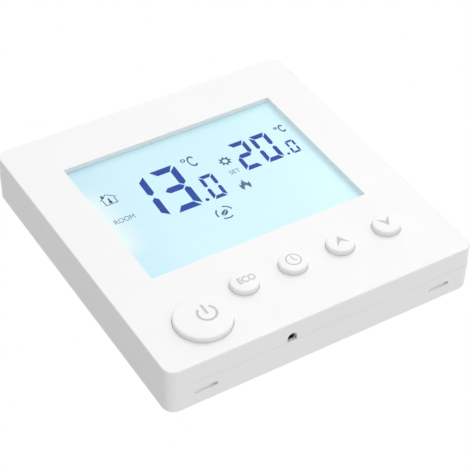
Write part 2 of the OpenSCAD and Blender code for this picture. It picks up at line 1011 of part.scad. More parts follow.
// Socket that the display unit's pins plug into
module socket_header() {
    color("#202020")
    wall_frame()
    difference() {
        block([header_w, header_d], header_pos, power_board_top, plate_t);
        header_grid(pin_hole_w, pin_end_z - 0.2, plate_t + eps);
    }
}

front_cover();
rear_shell();
case_screws();
lcd_gasket();
lcd_polariser();
lcd_front_glass();
lcd_rear_glass();
diffuser_film();
light_guide();
reflector_sheet();
backlight_leds();
lcd_frame();
zebra_strip();
main_pcb();
mcu_chip();
lcd_driver_chip();
clock_crystal();
backup_cell();
smd_resistors();
smd_capacitors();
header_base();
header_pins();
sensor_bead();
sensor_leads();
switch_bodies();
power_cap();
eco_cap();
clock_cap();
up_cap();
down_cap();
power_plunger();
eco_plunger();
clock_plunger();
up_plunger();
down_plunger();
mounting_plate();
power_box();
box_screws();
power_pcb();
pcb_screws();
terminal_block();
terminal_clamps();
terminal_screws();
relay();
transformer_core();
transformer_coil();
bulk_capacitor();
output_capacitor();
film_capacitor();
varistor();
fuse();
power_chip();
socket_header();
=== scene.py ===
# Wall thermostat. A display unit clips onto a mounting plate, and a power box behind the plate goes
# into the wall. Each mesh is drawn on its back in plan millimetres: x to the right, y up the face
# and z out of the wall. It is then stood up against the wall, which is the plane y = 0.
from math import cos, pi, radians, sin

import bmesh
import bpy
from mathutils import Matrix, Quaternion, Vector
from mathutils.geometry import intersect_point_line


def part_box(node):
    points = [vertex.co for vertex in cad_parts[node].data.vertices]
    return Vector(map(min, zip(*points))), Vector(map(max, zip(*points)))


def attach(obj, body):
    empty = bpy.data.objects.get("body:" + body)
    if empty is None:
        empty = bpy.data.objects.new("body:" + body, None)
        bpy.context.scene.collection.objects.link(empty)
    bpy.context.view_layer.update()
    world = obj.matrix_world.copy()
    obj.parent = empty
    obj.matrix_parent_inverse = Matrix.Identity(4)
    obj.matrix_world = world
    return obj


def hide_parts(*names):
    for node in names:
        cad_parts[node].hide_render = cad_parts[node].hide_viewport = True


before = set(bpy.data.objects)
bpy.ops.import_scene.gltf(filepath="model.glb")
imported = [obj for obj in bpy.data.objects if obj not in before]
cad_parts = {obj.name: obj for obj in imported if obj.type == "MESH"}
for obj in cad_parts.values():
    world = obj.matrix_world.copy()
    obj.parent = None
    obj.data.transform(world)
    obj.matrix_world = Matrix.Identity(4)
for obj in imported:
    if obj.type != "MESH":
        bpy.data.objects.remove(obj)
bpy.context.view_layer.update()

mm = 0.001

# ---------------------------------------------------------------- Camera, floor and light
# The camera is below the thermostat, to its left and turned clockwise. Soft light comes from all
# round, most of it from the front and the right, and a softbox adds a little gloss.
aim = Vector((-1.7, -6.5, -6.2)) * mm
camera_distance = 399 * mm
turn, lift, roll = radians(30.66), radians(38.53), radians(-41.8)
sight = Vector((sin(turn) * cos(lift), cos(turn) * cos(lift), sin(lift)))
camera_data = bpy.data.cameras.new("camera")
camera_data.lens = 122
camera_data.clip_start = 0.02
camera = bpy.data.objects.new("camera", camera_data)
camera.location = aim - camera_distance * sight
camera.rotation_mode = "QUATERNION"
camera.rotation_quaternion = sight.to_track_quat("-Z", "Y") @ Quaternion((0, 0, 1), roll)
bpy.context.collection.objects.link(camera)
bpy.context.scene.camera = camera
bpy.context.scene.view_settings.view_transform = "Standard"

floor_drop = 1.2
floor_half = 20
bm = bmesh.new()
bmesh.ops.create_grid(bm, x_segments=1, y_segments=1, size=floor_half,
                      matrix=Matrix.Translation((0, 0, -floor_drop)))
floor_mesh = bpy.data.meshes.new("floor")
bm.to_mesh(floor_mesh)
bm.free()
floor = bpy.data.objects.new("floor", floor_mesh)
bpy.context.collection.objects.link(floor)
floor_paint = bpy.data.materials.new("floor_paint")
floor_paint.use_nodes = True
floor_skin = floor_paint.node_tree.nodes["Principled BSDF"]
floor_skin.inputs["Base Color"].default_value = (0.9, 0.9, 0.9, 1)
floor_skin.inputs["Roughness"].default_value = 0.9
floor_mesh.materials.append(floor_paint)

# The room's light rises evenly from its weakest side to its strongest
light_level = 0.88
light_slope = Vector((0.55, -0.27, 0.03))
world = bpy.data.worlds.new("room")
bpy.context.scene.world = world
world.use_nodes = True
tree = world.node_tree
room = tree.nodes["Background"]
direction = tree.nodes.new("ShaderNodeTexCoord")
slope = tree.nodes.new("ShaderNodeVectorMath")
slope.operation = "DOT_PRODUCT"
slope.inputs[1].default_value = light_slope
level = tree.nodes.new("ShaderNodeMath")
level.operation = "ADD"
level.inputs[1].default_value = light_level
backdrop = tree.nodes.new("ShaderNodeBackground")
ray = tree.nodes.new("ShaderNodeLightPath")
seen = tree.nodes.new("ShaderNodeMixShader")
tree.links.new(direction.outputs["Generated"], slope.inputs[0])
tree.links.new(slope.outputs["Value"], level.inputs[0])
tree.links.new(level.outputs[0], room.inputs["Strength"])
room.inputs["Color"].default_value = (1, 1, 1, 1)
backdrop.inputs["Color"].default_value = (1, 1, 1, 1)
tree.links.new(ray.outputs["Is Camera Ray"], seen.inputs["Fac"])
tree.links.new(room.outputs[0], seen.inputs[1])
tree.links.new(backdrop.outputs[0], seen.inputs[2])
tree.links.new(seen.outputs[0], tree.nodes["World Output"].inputs["Surface"])

softbox_data = bpy.data.lights.new("softbox", "AREA")
softbox_data.size = 0.5
softbox_data.energy = 1.2
softbox = bpy.data.objects.new("softbox", softbox_data)
softbox.location = (0.45, -0.75, 0.4)
softbox.rotation_mode = "QUATERNION"
softbox.rotation_quaternion = (aim - softbox.location).to_track_quat("-Z", "Y")
bpy.context.collection.objects.link(softbox)

# ---------------------------------------------------------------- Power box
# Open tray that holds the mains side behind the plate, moulded in pale flame-retardant plastic.
# Its corner posts take the screws that hold it to the plate.
wall_frame = Matrix.Rotation(radians(90), 4, "X") @ Matrix.Scale(mm, 4)
sharp_angle = radians(40)
# Edges whose roundings would meet: how near they run, in radii, and how little of the gap between
# them may lie along the edge
room_needed, along_share = 2.1, 0.7


def merged_copy(node):
    """A copy of a CAD node, in plan millimetres, with its triangles joined into whole faces."""
    bm = bmesh.new()
    bm.from_mesh(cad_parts[node].data)
    bmesh.ops.transform(bm, matrix=wall_frame.inverted(), verts=bm.verts)
    bmesh.ops.remove_doubles(bm, verts=bm.verts, dist=0.0005)
    bmesh.ops.dissolve_limit(bm, angle_limit=radians(0.5), verts=bm.verts, edges=bm.edges)
    return bm


def gap_to(point, start, end):
    """The shortest way from a segment to a point."""
    foot, share = intersect_point_line(point, start, end)
    return point - start.lerp(end, min(max(share, 0), 1))


def crowded(edge, chosen, reach):
    """Whether another chosen edge runs so close beside an edge that their roundings would meet."""
    a, b = (v.co for v in edge.verts)
    along = (b - a).normalized()
    for face in edge.link_faces:
        for other in face.edges:
            if other not in chosen or set(other.verts) & set(edge.verts):
                continue
            c, d = (v.co for v in other.verts)
            gaps = (gap_to(c, a, b), gap_to(d, a, b), gap_to(a, c, d), gap_to(b, c, d))
            if any(g.length < reach and abs(g.dot(along)) < along_share * g.length for g in gaps):
                return True
    return False


def ease(bm, edges, radius, steps=2, inner=True):
    """Rounds edges that have room, or chamfers them in one step. Inner ones can be left out."""
    chosen = {edge for edge in edges if inner or edge.is_convex}
    reach = room_needed * radius
    roomy = [edge for edge in bm.edges if edge in chosen and not crowded(edge, chosen, reach)]
    bmesh.ops.bevel(bm, geom=roomy, offset=radius, offset_type="OFFSET", segments=steps,
                    profile=0.5, affect="EDGES", clamp_overlap=False, material=-1)


def eased_copy(node, radius, inner=True):
    """A merged copy of a CAD node with its sharp edges eased."""
    bm = merged_copy(node)
    ease(bm, [edge for edge in bm.edges if edge.calc_face_angle(0) > sharp_angle], radius, 2, inner)
    return bm


def make_piece(bm, name, material):
    """Stands a mesh that is drawn in plan millimetres up against the wall as a finished piece."""
    bmesh.ops.transform(bm, matrix=wall_frame, verts=bm.verts)
    mesh = bpy.data.meshes.new(name)
    bm.to_mesh(mesh)
    bm.free()
    mesh.materials.append(material)
    mesh.shade_smooth()
    mesh.set_sharp_from_angle(angle=sharp_angle)
    made = bpy.data.objects.new(name, mesh)
    bpy.context.collection.objects.link(made)
    even = made.modifiers.new("even_shading", "WEIGHTED_NORMAL")
    even.keep_sharp = True
    return made


def noise(tree, size, detail=2):
    """Noise whose features are about size millimetres across."""
    place = tree.nodes.new("ShaderNodeTexCoord")
    made = tree.nodes.new("ShaderNodeTexNoise")
    made.inputs["Scale"].default_value = 1 / (size * mm)
    made.inputs["Detail"].default_value = detail
    tree.links.new(place.outputs["Object"], made.inputs["Vector"])
    return made.outputs["Fac"]


def tinted(tree, value, dark, light, socket):
    """Spreads a value between two colours and feeds a colour socket."""
    ramp = tree.nodes.new("ShaderNodeValToRGB")
    ramp.color_ramp.elements[0].position = 0.3
    ramp.color_ramp.elements[1].position = 0.7
    ramp.color_ramp.elements[0].color = (*dark, 1)
    ramp.color_ramp.elements[1].color = (*light, 1)
    tree.links.new(value, ramp.inputs["Fac"])
    tree.links.new(ramp.outputs["Color"], socket)


def spread(tree, value, low, high, socket):
    """Spreads a value between two numbers and feeds a number socket."""
    span = tree.nodes.new("ShaderNodeMapRange")
    span.inputs["From Min"].default_value = 0.3
    span.inputs["From Max"].default_value = 0.7
    span.inputs["To Min"].default_value = low
    span.inputs["To Max"].default_value = high
    tree.links.new(value, span.inputs["Value"])
    tree.links.new(span.outputs["Result"], socket)


def relief(tree, value, depth, socket):
    """Turns a value into a surface relief of some millimetres."""
    bump = tree.nodes.new("ShaderNodeBump")
    bump.inputs["Distance"].default_value = depth * mm
    tree.links.new(value, bump.inputs["Height"])
    tree.links.new(bump.outputs["Normal"], socket)


def moulded(name, colour, roughness, grain=0.35, depth=0.004, mottle=0.04):
    """Moulded plastic: a fine eroded grain, and colour and gloss that are barely uneven."""
    material = bpy.data.materials.new(name)
    material.use_nodes = True
    tree = material.node_tree
    skin = tree.nodes["Principled BSDF"]
    skin.inputs["IOR"].default_value = 1.5
    dark = [c * (1 - mottle) for c in colour]
    light = [min(c * (1 + mottle / 2), 1) for c in colour]
    tinted(tree, noise(tree, 14, 3), dark, light, skin.inputs["Base Color"])
    spread(tree, noise(tree, 3), roughness - 0.05, roughness + 0.05, skin.inputs["Roughness"])
    relief(tree, noise(tree, grain), depth, skin.inputs["Normal"])
    return material


box_white = moulded("box_white", (0.74, 0.735, 0.71), 0.5, grain=0.5, depth=0.008)
power_box = make_piece(eased_copy("power_box", 0.08, inner=False), "power_box_tray", box_white)
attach(power_box, "base")
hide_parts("power_box")

# ---------------------------------------------------------------- Terminal block
# Green seven-pole block with rising cages: a plastic body, zinc-plated cages and slotted screws.
terminal_green = moulded("terminal_green", (0.045, 0.24, 0.10), 0.42, grain=0.3, depth=0.006)


def metal(name, colour, roughness, brushed=0.25, depth=0.0015):
    """Plated or plain metal with fine drawn marks and uneven gloss."""
    material = bpy.data.materials.new(name)
    material.use_nodes = True
    tree = material.node_tree
    skin = tree.nodes["Principled BSDF"]
    skin.inputs["Metallic"].default_value = 1
    dark = [c * 0.85 for c in colour]
    tinted(tree, noise(tree, 1.5, 4), dark, colour, skin.inputs["Base Color"])
    spread(tree, noise(tree, 0.8, 3), roughness - 0.08, roughness + 0.1, skin.inputs["Roughness"])
    relief(tree, noise(tree, brushed, 3), depth, skin.inputs["Normal"])
    return material


zinc = metal("zinc", (0.72, 0.73, 0.74), 0.32)
for node, name, finish, radius, slot in (
        ("terminal_block", "terminal_body", terminal_green, 0.07, "terminal_green"),
        ("terminal_clamps", "terminal_cages", zinc, 0.04, "tinned"),
        ("terminal_screws", "terminal_screw_set", zinc, 0.08, "screw_steel")):
    part = make_piece(eased_copy(node, radius), name, finish)
    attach(part, "base")
    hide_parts(node)

# ---------------------------------------------------------------- Power board
# Board of green glass-epoxy that carries the relay and the small transformer supply, screwed to
# two rests in the box.


def circuit_board(name):
    """Green solder mask over glass cloth, with copper runs that show through as paler bands."""
    material = bpy.data.materials.new(name)
    material.use_nodes = True
    tree = material.node_tree
    skin = tree.nodes["Principled BSDF"]
    skin.inputs["Coat Weight"].default_value = 0.3
    skin.inputs["Coat Roughness"].default_value = 0.15
    place = tree.nodes.new("ShaderNodeTexCoord")
    stand = tree.nodes.new("ShaderNodeMapping")
    stand.inputs["Rotation"].default_value = (radians(-90), 0, 0)
    runs = tree.nodes.new("ShaderNodeTexBrick")
    runs.inputs["Scale"].default_value = 1 / (9 * mm)
    runs.inputs["Mortar Size"].default_value = 0.035
    runs.inputs["Mortar Smooth"].default_value = 0.1
    runs.inputs["Color1"].default_value = (0.012, 0.11, 0.045, 1)
    runs.inputs["Color2"].default_value = (0.016, 0.13, 0.052, 1)
    runs.inputs["Mortar"].default_value = (0.05, 0.25, 0.10, 1)
    tree.links.new(place.outputs["Object"], stand.inputs["Vector"])
    tree.links.new(stand.outputs["Vector"], runs.inputs["Vector"])
    tree.links.new(runs.outputs["Color"], skin.inputs["Base Color"])
    spread(tree, noise(tree, 0.6), 0.3, 0.42, skin.inputs["Roughness"])
    relief(tree, runs.outputs["Fac"], 0.03, skin.inputs["Normal"])
    return material


board_green = circuit_board("board_green")
power_board = make_piece(eased_copy("power_pcb", 0.08), "power_board", board_green)
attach(power_board, "base")
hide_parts("power_pcb")

# ---------------------------------------------------------------- Parts on the power board
# Through-hole parts, each with its own body: a relay, a transformer with a taped coil on a ferrite
# core, two sleeved capacitors, a film capacitor, a varistor, a fuse, a chip and the socket.
relay_blue = moulded("relay_blue", (0.03, 0.12, 0.40), 0.35)
ferrite = moulded("ferrite", (0.045, 0.045, 0.05), 0.6, grain=0.2, depth=0.012)
coil_tape = moulded("coil_tape", (0.78, 0.56, 0.08), 0.3, grain=1.2, depth=0.02)
sleeve_navy = moulded("sleeve_navy", (0.02, 0.03, 0.09), 0.28, grain=0.8, depth=0.006)
film_yellow = moulded("film_yellow", (0.75, 0.55, 0.07), 0.4)
varistor_blue = moulded("varistor_blue", (0.04, 0.16, 0.42), 0.3, grain=0.9, depth=0.02)
fuse_black = moulded("fuse_black", (0.03, 0.03, 0.03), 0.45)
chip_black = moulded("chip_black", (0.025, 0.025, 0.028), 0.5, grain=0.15, depth=0.006)
switch_black = moulded("switch_black", (0.03, 0.03, 0.032), 0.4)
for node, finish, radius, slot in (
        ("relay", relay_blue, 0.3, "relay_blue"),
        ("transformer_core", ferrite, 0.2, "ferrite"),
        ("transformer_coil", coil_tape, 0.3, "coil_tape"),
        ("bulk_capacitor", sleeve_navy, 0.3, "sleeve_navy"),
        ("output_capacitor", sleeve_navy, 0.3, "sleeve_navy"),
        ("film_capacitor", film_yellow, 0.5, "film_yellow"),
        ("varistor", varistor_blue, 0.4, "varistor_blue"),
        ("fuse", fuse_black, 0.2, "fuse_black"),
        ("power_chip", chip_black, 0.08, "chip_black"),
        ("socket_header", switch_black, 0.08, "switch_black")):
    part = make_piece(eased_copy(node, radius), node + "_body", finish)
    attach(part, "base")
    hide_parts(node)

# ---------------------------------------------------------------- Mounting plate
# Plate that is screwed to the wall box, moulded in the same plastic as the box. Four tabs on its
# edges hold the display unit.
plate_white = moulded("plate_white", (0.78, 0.775, 0.76), 0.5, grain=0.5, depth=0.008)
plate = make_piece(eased_copy("mounting_plate", 0.15), "wall_plate", plate_white)
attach(plate, "base")
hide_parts("mounting_plate")

# ---------------------------------------------------------------- Screws
# Zinc-plated steel tapping screws with cross recesses, in three groups.
screw_steel = metal("screw_steel", (0.66, 0.66, 0.67), 0.3)
for node, body in (("box_screws", "base"), ("pcb_screws", "base"), ("case_screws", "display_unit")):
    part = make_piece(eased_copy(node, 0.06), node + "_set", screw_steel)
    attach(part, body)
    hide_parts(node)

# ---------------------------------------------------------------- Rear shell
# The lower half of the display unit's casing: white ABS, with a little draft, two pry notches in
# its bottom edge and a half lap that closes the seam. Its rim stands out a hair beyond the cover.
shell_white = moulded("shell_white", (0.86, 0.86, 0.86), 0.42, mottle=0.01)
bm = merged_copy("rear_shell")
corner_radius, rim_out, rim_width = 3.0, 0.14, 0.5
rim_height = max(v.co.z for v in bm.verts)
half_w, half_h = max(v.co.x for v in bm.verts), max(v.co.y for v in bm.verts)
rim_corner = corner_radius + rim_out
shell_sharp, shell_round = radians(50), 0.08
slack = 0.01


def outermost(point):
    """Whether a point lies on the rim's outer outline, round corners included."""
    beyond = Vector((max(abs(point.x) - half_w + rim_corner, 0),
                     max(abs(point.y) - half_h + rim_corner, 0)))
    return beyond.length > rim_corner - rim_width and point.z > rim_height - slack


ease(bm, [e for e in bm.edges if outermost(e.verts[0].co) and outermost(e.verts[1].co)],
     rim_out, 1)
ease(bm, [e for e in bm.edges if e.calc_face_angle(0) > shell_sharp], shell_round, inner=False)
rear_shell = make_piece(bm, "rear_half", shell_white)
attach(rear_shell, "display_unit")
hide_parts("rear_shell")

# ---------------------------------------------------------------- Control board and its parts
# Green board across the display unit. Its back carries two chips, a clock crystal, a backup cell,
# chip resistors and capacitors and the pins that plug into the power box.
tinned = metal("tinned", (0.78, 0.78, 0.76), 0.3)
gold = metal("gold_plate", (0.90, 0.68, 0.28), 0.28)
chip_resistor = moulded("chip_resistor", (0.03, 0.03, 0.04), 0.35)
chip_capacitor = moulded("chip_capacitor", (0.48, 0.33, 0.19), 0.4)
bead_black = moulded("bead_black", (0.02, 0.02, 0.02), 0.3, grain=0.3, depth=0.01)
for node, finish, radius, slot in (
        ("main_pcb", board_green, 0.08, "board_green"),
        ("mcu_chip", chip_black, 0.03, "chip_black"),
        ("lcd_driver_chip", chip_black, 0.03, "chip_black"),
        ("clock_crystal", tinned, 0.3, "tinned"),
        ("backup_cell", tinned, 0.03, "tinned"),
        ("smd_resistors", chip_resistor, 0.05, "chip_resistor"),
        ("smd_capacitors", chip_capacitor, 0.06, "chip_capacitor"),
        ("header_base", chip_black, 0.08, "switch_black"),
        ("header_pins", gold, 0.06, "gold_pin"),
        ("sensor_bead", bead_black, 0.02, "bead_black"),
        ("sensor_leads", tinned, 0.02, "tinned"),
        ("switch_bodies", switch_black, 0.06, "switch_black")):
    part = make_piece(eased_copy(node, radius), node + "_body", finish)
    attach(part, "display_unit")
    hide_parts(node)

# ---------------------------------------------------------------- Display stack
# Light guide on a reflector sheet, a diffuser, two glasses and a foam gasket, all held on the board
# by a pale frame. Three lamps shine into the guide's left edge.
frame_plastic = moulded("frame_plastic", (0.76, 0.76, 0.74), 0.5)
foam_grey = moulded("foam_grey", (0.16, 0.16, 0.17), 0.9, grain=0.12, depth=0.04)
elastomer = moulded("elastomer", (0.52, 0.35, 0.36), 0.6)
diffuser = moulded("diffuser", (0.86, 0.88, 0.88), 0.55, grain=0.1, depth=0.003)
reflector = moulded("reflector", (0.90, 0.90, 0.90), 0.35)
led_body = moulded("led_body", (0.85, 0.82, 0.55), 0.35)


def clear(name, tint, roughness=0.03):
    """Clear glass or acrylic with faint handling marks in its gloss."""
    material = bpy.data.materials.new(name)
    material.use_nodes = True
    tree = material.node_tree
    skin = tree.nodes["Principled BSDF"]
    skin.inputs["IOR"].default_value = 1.5
    skin.inputs["Transmission Weight"].default_value = 0.9
    tinted(tree, noise(tree, 20), [c * 0.97 for c in tint], tint, skin.inputs["Base Color"])
    spread(tree, noise(tree, 4, 4), roughness, roughness + 0.04, skin.inputs["Roughness"])
    return material


clear_glass = clear("clear_glass", (0.90, 0.97, 0.96))
acrylic = clear("acrylic", (0.94, 0.97, 0.99), 0.05)
for node, finish, radius, slot in (
        ("reflector_sheet", reflector, 0.03, "reflector"),
        ("light_guide", acrylic, 0.1, "acrylic"),
        ("backlight_leds", led_body, 0.1, "led_body"),
        ("diffuser_film", diffuser, 0.03, "diffuser"),
        ("lcd_frame", frame_plastic, 0.1, "frame_plastic"),
        ("zebra_strip", elastomer, 0.1, "elastomer"),
        ("lcd_rear_glass", clear_glass, 0.08, "clear_glass"),
        ("lcd_front_glass", clear_glass, 0.08, "clear_glass"),
        ("lcd_gasket", foam_grey, 0.03, "foam_grey")):
    part = make_piece(eased_copy(node, radius), node + "_part", finish)
    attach(part, "display_unit")
    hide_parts(node)

# ---------------------------------------------------------------- Display surface
# Front polariser film over the display, lit from behind in pale cyan. The lamps sit at its left, so
# the middle of the left edge is the brightest part. Painted shade dims the rest of the left edge,
# and painted light brightens the right side.


def plan(node):
    """The lowest and highest corner of a CAD node in plan millimetres."""
    low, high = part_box(node)
    return Vector((low.x, low.z, -high.y)) / mm, Vector((high.x, high.z, -low.y)) / mm


film_high = plan("lcd_polariser")[1]
glow = bpy.data.materials.new("lit_polariser")
glow.use_nodes = True
tree = glow.node_tree
skin = tree.nodes["Principled BSDF"]
skin.inputs["Roughness"].default_value = 0.22
skin.inputs["Emission Strength"].default_value = 0.55
place = tree.nodes.new("ShaderNodeTexCoord")
# Painted shade dims the left edge a little, apart from the bright patch in its middle, and painted
# light makes the right paler
along = tree.nodes.new("ShaderNodeSeparateXYZ")
tree.links.new(place.outputs["Object"], along.inputs[0])


def ranged(value, start, end):
    """Eases from 0 at one place to 1 at another, both in millimetres."""
    made = tree.nodes.new("ShaderNodeMapRange")
    made.interpolation_type = "SMOOTHSTEP"
    made.inputs["From Min"].default_value = start * mm
    made.inputs["From Max"].default_value = end * mm
    tree.links.new(value, made.inputs["Value"])
    return made.outputs["Result"]


def combined(operation, first, second):
    """One step of arithmetic on two values, or on a value and a number."""
    made = tree.nodes.new("ShaderNodeMath")
    made.operation = operation
    for socket, term in zip(made.inputs, (first, second)):
        if isinstance(term, float):
            socket.default_value = term
        else:
            tree.links.new(term, socket)
    return made.outputs[0]


patch_height = 8
from_middle = combined("ABSOLUTE", combined("SUBTRACT", along.outputs["Z"], patch_height * mm), 0.0)
nearness = tree.nodes.new("ShaderNodeMapRange")
nearness.inputs["From Min"].default_value = -20 * mm
nearness.inputs["From Max"].default_value = -32 * mm
tree.links.new(along.outputs["X"], nearness.inputs["Value"])
patch = combined("MULTIPLY", combined("POWER", nearness.outputs["Result"], 2.0),
                 ranged(from_middle, 16, 7))
# Painted shade: the emission colour darkens towards the left edge, where the recess wall shades the
# film
painted_left_shade = tree.nodes.new("ShaderNodeMix")
painted_left_shade.data_type = "RGBA"
painted_left_shade.inputs["A"].default_value = (0.435, 0.66, 0.735, 1)
painted_left_shade.inputs["B"].default_value = (0.355, 0.565, 0.665, 1)
tree.links.new(ranged(along.outputs["X"], -15, -31), painted_left_shade.inputs["Factor"])
# Painted light: the emission colour brightens towards the right, against the shadow of the recess's
# right wall
painted_right_light = tree.nodes.new("ShaderNodeMix")
painted_right_light.data_type = "RGBA"
painted_right_light.inputs["B"].default_value = (0.49, 0.73, 0.80, 1)
tree.links.new(painted_left_shade.outputs["Result"], painted_right_light.inputs["A"])
tree.links.new(ranged(along.outputs["X"], 8, 31), painted_right_light.inputs["Factor"])
patch_hue = tree.nodes.new("ShaderNodeMix")
patch_hue.data_type = "RGBA"
patch_hue.inputs["B"].default_value = (1.0, 0.86, 0.74, 1)
tree.links.new(patch, patch_hue.inputs["Factor"])
tree.links.new(painted_right_light.outputs["Result"], patch_hue.inputs["A"])
tree.links.new(patch_hue.outputs["Result"], skin.inputs["Emission Color"])
tinted(tree, noise(tree, 6, 4), (0.344, 0.466, 0.50), (0.352, 0.474, 0.51),
       skin.inputs["Base Color"])
polariser = make_piece(eased_copy("lcd_polariser", 0.03), "display_surface", glow)
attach(polariser, "display_unit")
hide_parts("lcd_polariser")

# ---------------------------------------------------------------- Display segments
# The figures and signs that the display shows, in blue: the room's temperature, then the set one.
# Each segment is a thin layer that stands just proud of the film.
ink = 0.03
sunk = ink / 3
slant = 0.046
room_line, set_line = 11.55, 14.1
segments_of = {"0": "abcdef", "1": "bc", "2": "abged", "3": "abgcd"}


def segment_outline(letter, w, h, bar_w, bar_h, gap):
    """Outline of one of the seven segments of a figure whose centre is at zero."""
    x, y, tip, inner_gap = w / 2, h / 2, bar_w / 2, 0.3 * gap
    if letter in "ad":
        inner_x = x - bar_w - inner_gap
        points = [(-x + gap, y), (x - gap, y), (inner_x, y - bar_h), (-inner_x, y - bar_h)]
    elif letter == "g":
        end, t = x - tip - 0.15 * gap, bar_h / 2
        points = [(-end, 0), (-end + t, t), (end - t, t), (end, 0), (end - t, -t), (-end + t, -t)]
    else:
        foot = 0.75 * gap
        points = [(x, y - gap), (x, foot + tip), (x - tip, foot), (x - bar_w, foot + tip),
                  (x - bar_w, y - bar_h - inner_gap)]
    if letter in "dce":
        points = [(px, -py) for px, py in points]
    if letter in "ef":
        points = [(-px, py) for px, py in points]
    return points


def flat_shape(bm, points, centre, lean=0.0):
    """A flat face with the given outline, leaning to the right as the figures do."""
    verts = [bm.verts.new((centre[0] + x + lean * y, centre[1] + y, 0)) for x, y in points]
    bm.faces.new(verts)


def figure(bm, value, centre, size, bar, gap):
    """A seven-segment figure."""
    for letter in segments_of[value]:
        flat_shape(bm, segment_outline(letter, *size, *bar, gap), centre, slant)


def disc(bm, centre, radius):
    """A flat round dot."""
    bmesh.ops.create_circle(bm, cap_ends=True, radius=radius, segments=20,
                            matrix=Matrix.Translation((*centre, 0)))


def thicken(bm, level):
    """Gives flat shapes their thickness, from just inside the surface that they lie on."""
    bmesh.ops.recalc_face_normals(bm, faces=bm.faces)
    bmesh.ops.solidify(bm, geom=bm.faces[:], thickness=ink)
    lowest = min(v.co.z for v in bm.verts)
    bmesh.ops.translate(bm, verts=bm.verts, vec=(0, 0, level - lowest - sunk))
    bmesh.ops.recalc_face_normals(bm, faces=bm.faces)


bm = bmesh.new()
big, big_bar, big_gap = (7.6, 17.1), (1.85, 2.1), 0.6
for value, x in (("1", -18.0), ("3", -8.75)):
    figure(bm, value, (x, room_line), big, big_bar, big_gap)
disc(bm, (-3.8, 3.85), 0.55)
figure(bm, "0", (0.05, 7.65), (4.1, 9.5), (1.0, 1.2), 0.35)
for value, x in (("2", 13.65), ("0", 20.2)):
    figure(bm, value, (x, set_line), (5.1, 11.4), (1.2, 1.55), 0.4)
disc(bm, (23.9, 9.0), 0.42)
figure(bm, "0", (26.45, 11.0), (2.5, 5.3), (0.6, 0.7), 0.2)
thicken(bm, film_high.z)
segment_blue = moulded("segment_blue", (0.012, 0.062, 0.36), 0.5, grain=0.5, depth=0.001,
                       mottle=0.1)
segment_blue.node_tree.nodes["Principled BSDF"].inputs["Specular IOR Level"].default_value = 0.2
figures = make_piece(bm, "display_figures", segment_blue)
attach(figures, "display_unit")

# ---------------------------------------------------------------- Display signs
# Small signs beside the figures: house, sun, flame, leaf in a broken ring, two degree signs, and
# the two plain words for the room's and the set temperature.


def stroke(bm, start, end, width):
    """A straight flat stroke between two points."""
    a, b = Vector(start), Vector(end)
    side = (b - a).orthogonal().normalized() * width / 2
    verts = [bm.verts.new((*p, 0)) for p in (a + side, a - side, b - side, b + side)]
    bm.faces.new(verts)


def arc(bm, centre, radius, start, end, width, steps=24):
    """A flat ring or part of one, between two angles in degrees, anticlockwise from the right."""
    angle = radians(end - start)
    closed = abs(end - start) >= 360
    first_x, first_y = cos(radians(start)), sin(radians(start))
    rim = [bm.verts.new((centre[0] + r * first_x, centre[1] + r * first_y, 0))
           for r in (radius - width / 2, radius + width / 2)]
    edge = bm.edges.new(rim)
    bmesh.ops.spin(bm, geom=rim + [edge], cent=(*centre, 0), axis=(0, 0, 1), angle=angle,
                   steps=steps, use_merge=closed)


# Capitals of the plain face are this share of its nominal size
capital_share = 0.7


def word(bm, text, centre, height, stretch, weight=0.0):
    """A plain word in flat block letters, centred on a point, with its strokes fattened or not."""
    curve = bpy.data.curves.new(text, "FONT")
    curve.body = text
    curve.align_x = "CENTER"
    curve.align_y = "CENTER"
    curve.size = height / capital_share
    curve.offset = weight
    holder = bpy.data.objects.new(text, curve)
    mesh = bpy.data.meshes.new_from_object(holder)
    mesh.transform(Matrix.Translation((*centre, 0)) @ Matrix.Diagonal((stretch, 1, 1, 1)))
    bm.from_mesh(mesh)
    bpy.data.objects.remove(holder)
    bpy.data.curves.remove(curve)
    bpy.data.meshes.remove(mesh)


bm = bmesh.new()
thin = 0.34
# House with a chimney and a thermometer in it
eaves_y, ridge = 16.5, (-25.3, 18.3)
for a, b in (((-27.5, eaves_y), ridge), (ridge, (-23.1, eaves_y)), ((-26.9, 16.6), (-26.9, 14.4)),
             ((-23.7, 16.6), (-23.7, 14.4)), ((-27.05, 14.4), (-23.55, 14.4))):
    stroke(bm, a, b, 0.24)
stroke(bm, (-26.5, 17.1), (-26.5, 18.3), 0.65)
stroke(bm, (-25.3, 15.2), (-25.3, 16.7), 0.5)
disc(bm, (-25.3, 15.1), 0.48)
# Degree signs
for ring_centre, ring_radius, c_centre, c_radius, tall in (
        ((-1.65, 20.1), 0.52, (0.45, 18.8), 1.05, 1.75),
        ((26.4, 19.6), 0.36, (28.0, 18.8), 0.75, 1.7)):
    arc(bm, ring_centre, ring_radius, 0, 360, thin)
    fresh = set(bm.verts)
    arc(bm, c_centre, c_radius, 40, 320, thin + 0.02)
    letter = [v for v in bm.verts if v not in fresh]
    bmesh.ops.scale(bm, verts=letter, vec=(1, tall, 1), space=Matrix.Translation(
        (-c_centre[0], -c_centre[1], 0)))
# Sun with eight rays
sun = (7.85, 14.6)
arc(bm, sun, 0.95, 0, 360, 0.44, steps=32)
for i in range(8):
    a = i * pi / 4
    out, across = Vector((cos(a), sin(a))), Vector((-sin(a), cos(a))) * 0.4
    foot = Vector(sun) + out * 1.1
    flat_shape(bm, [foot - across, foot + across, Vector(sun) + out * 1.85], (0, 0))
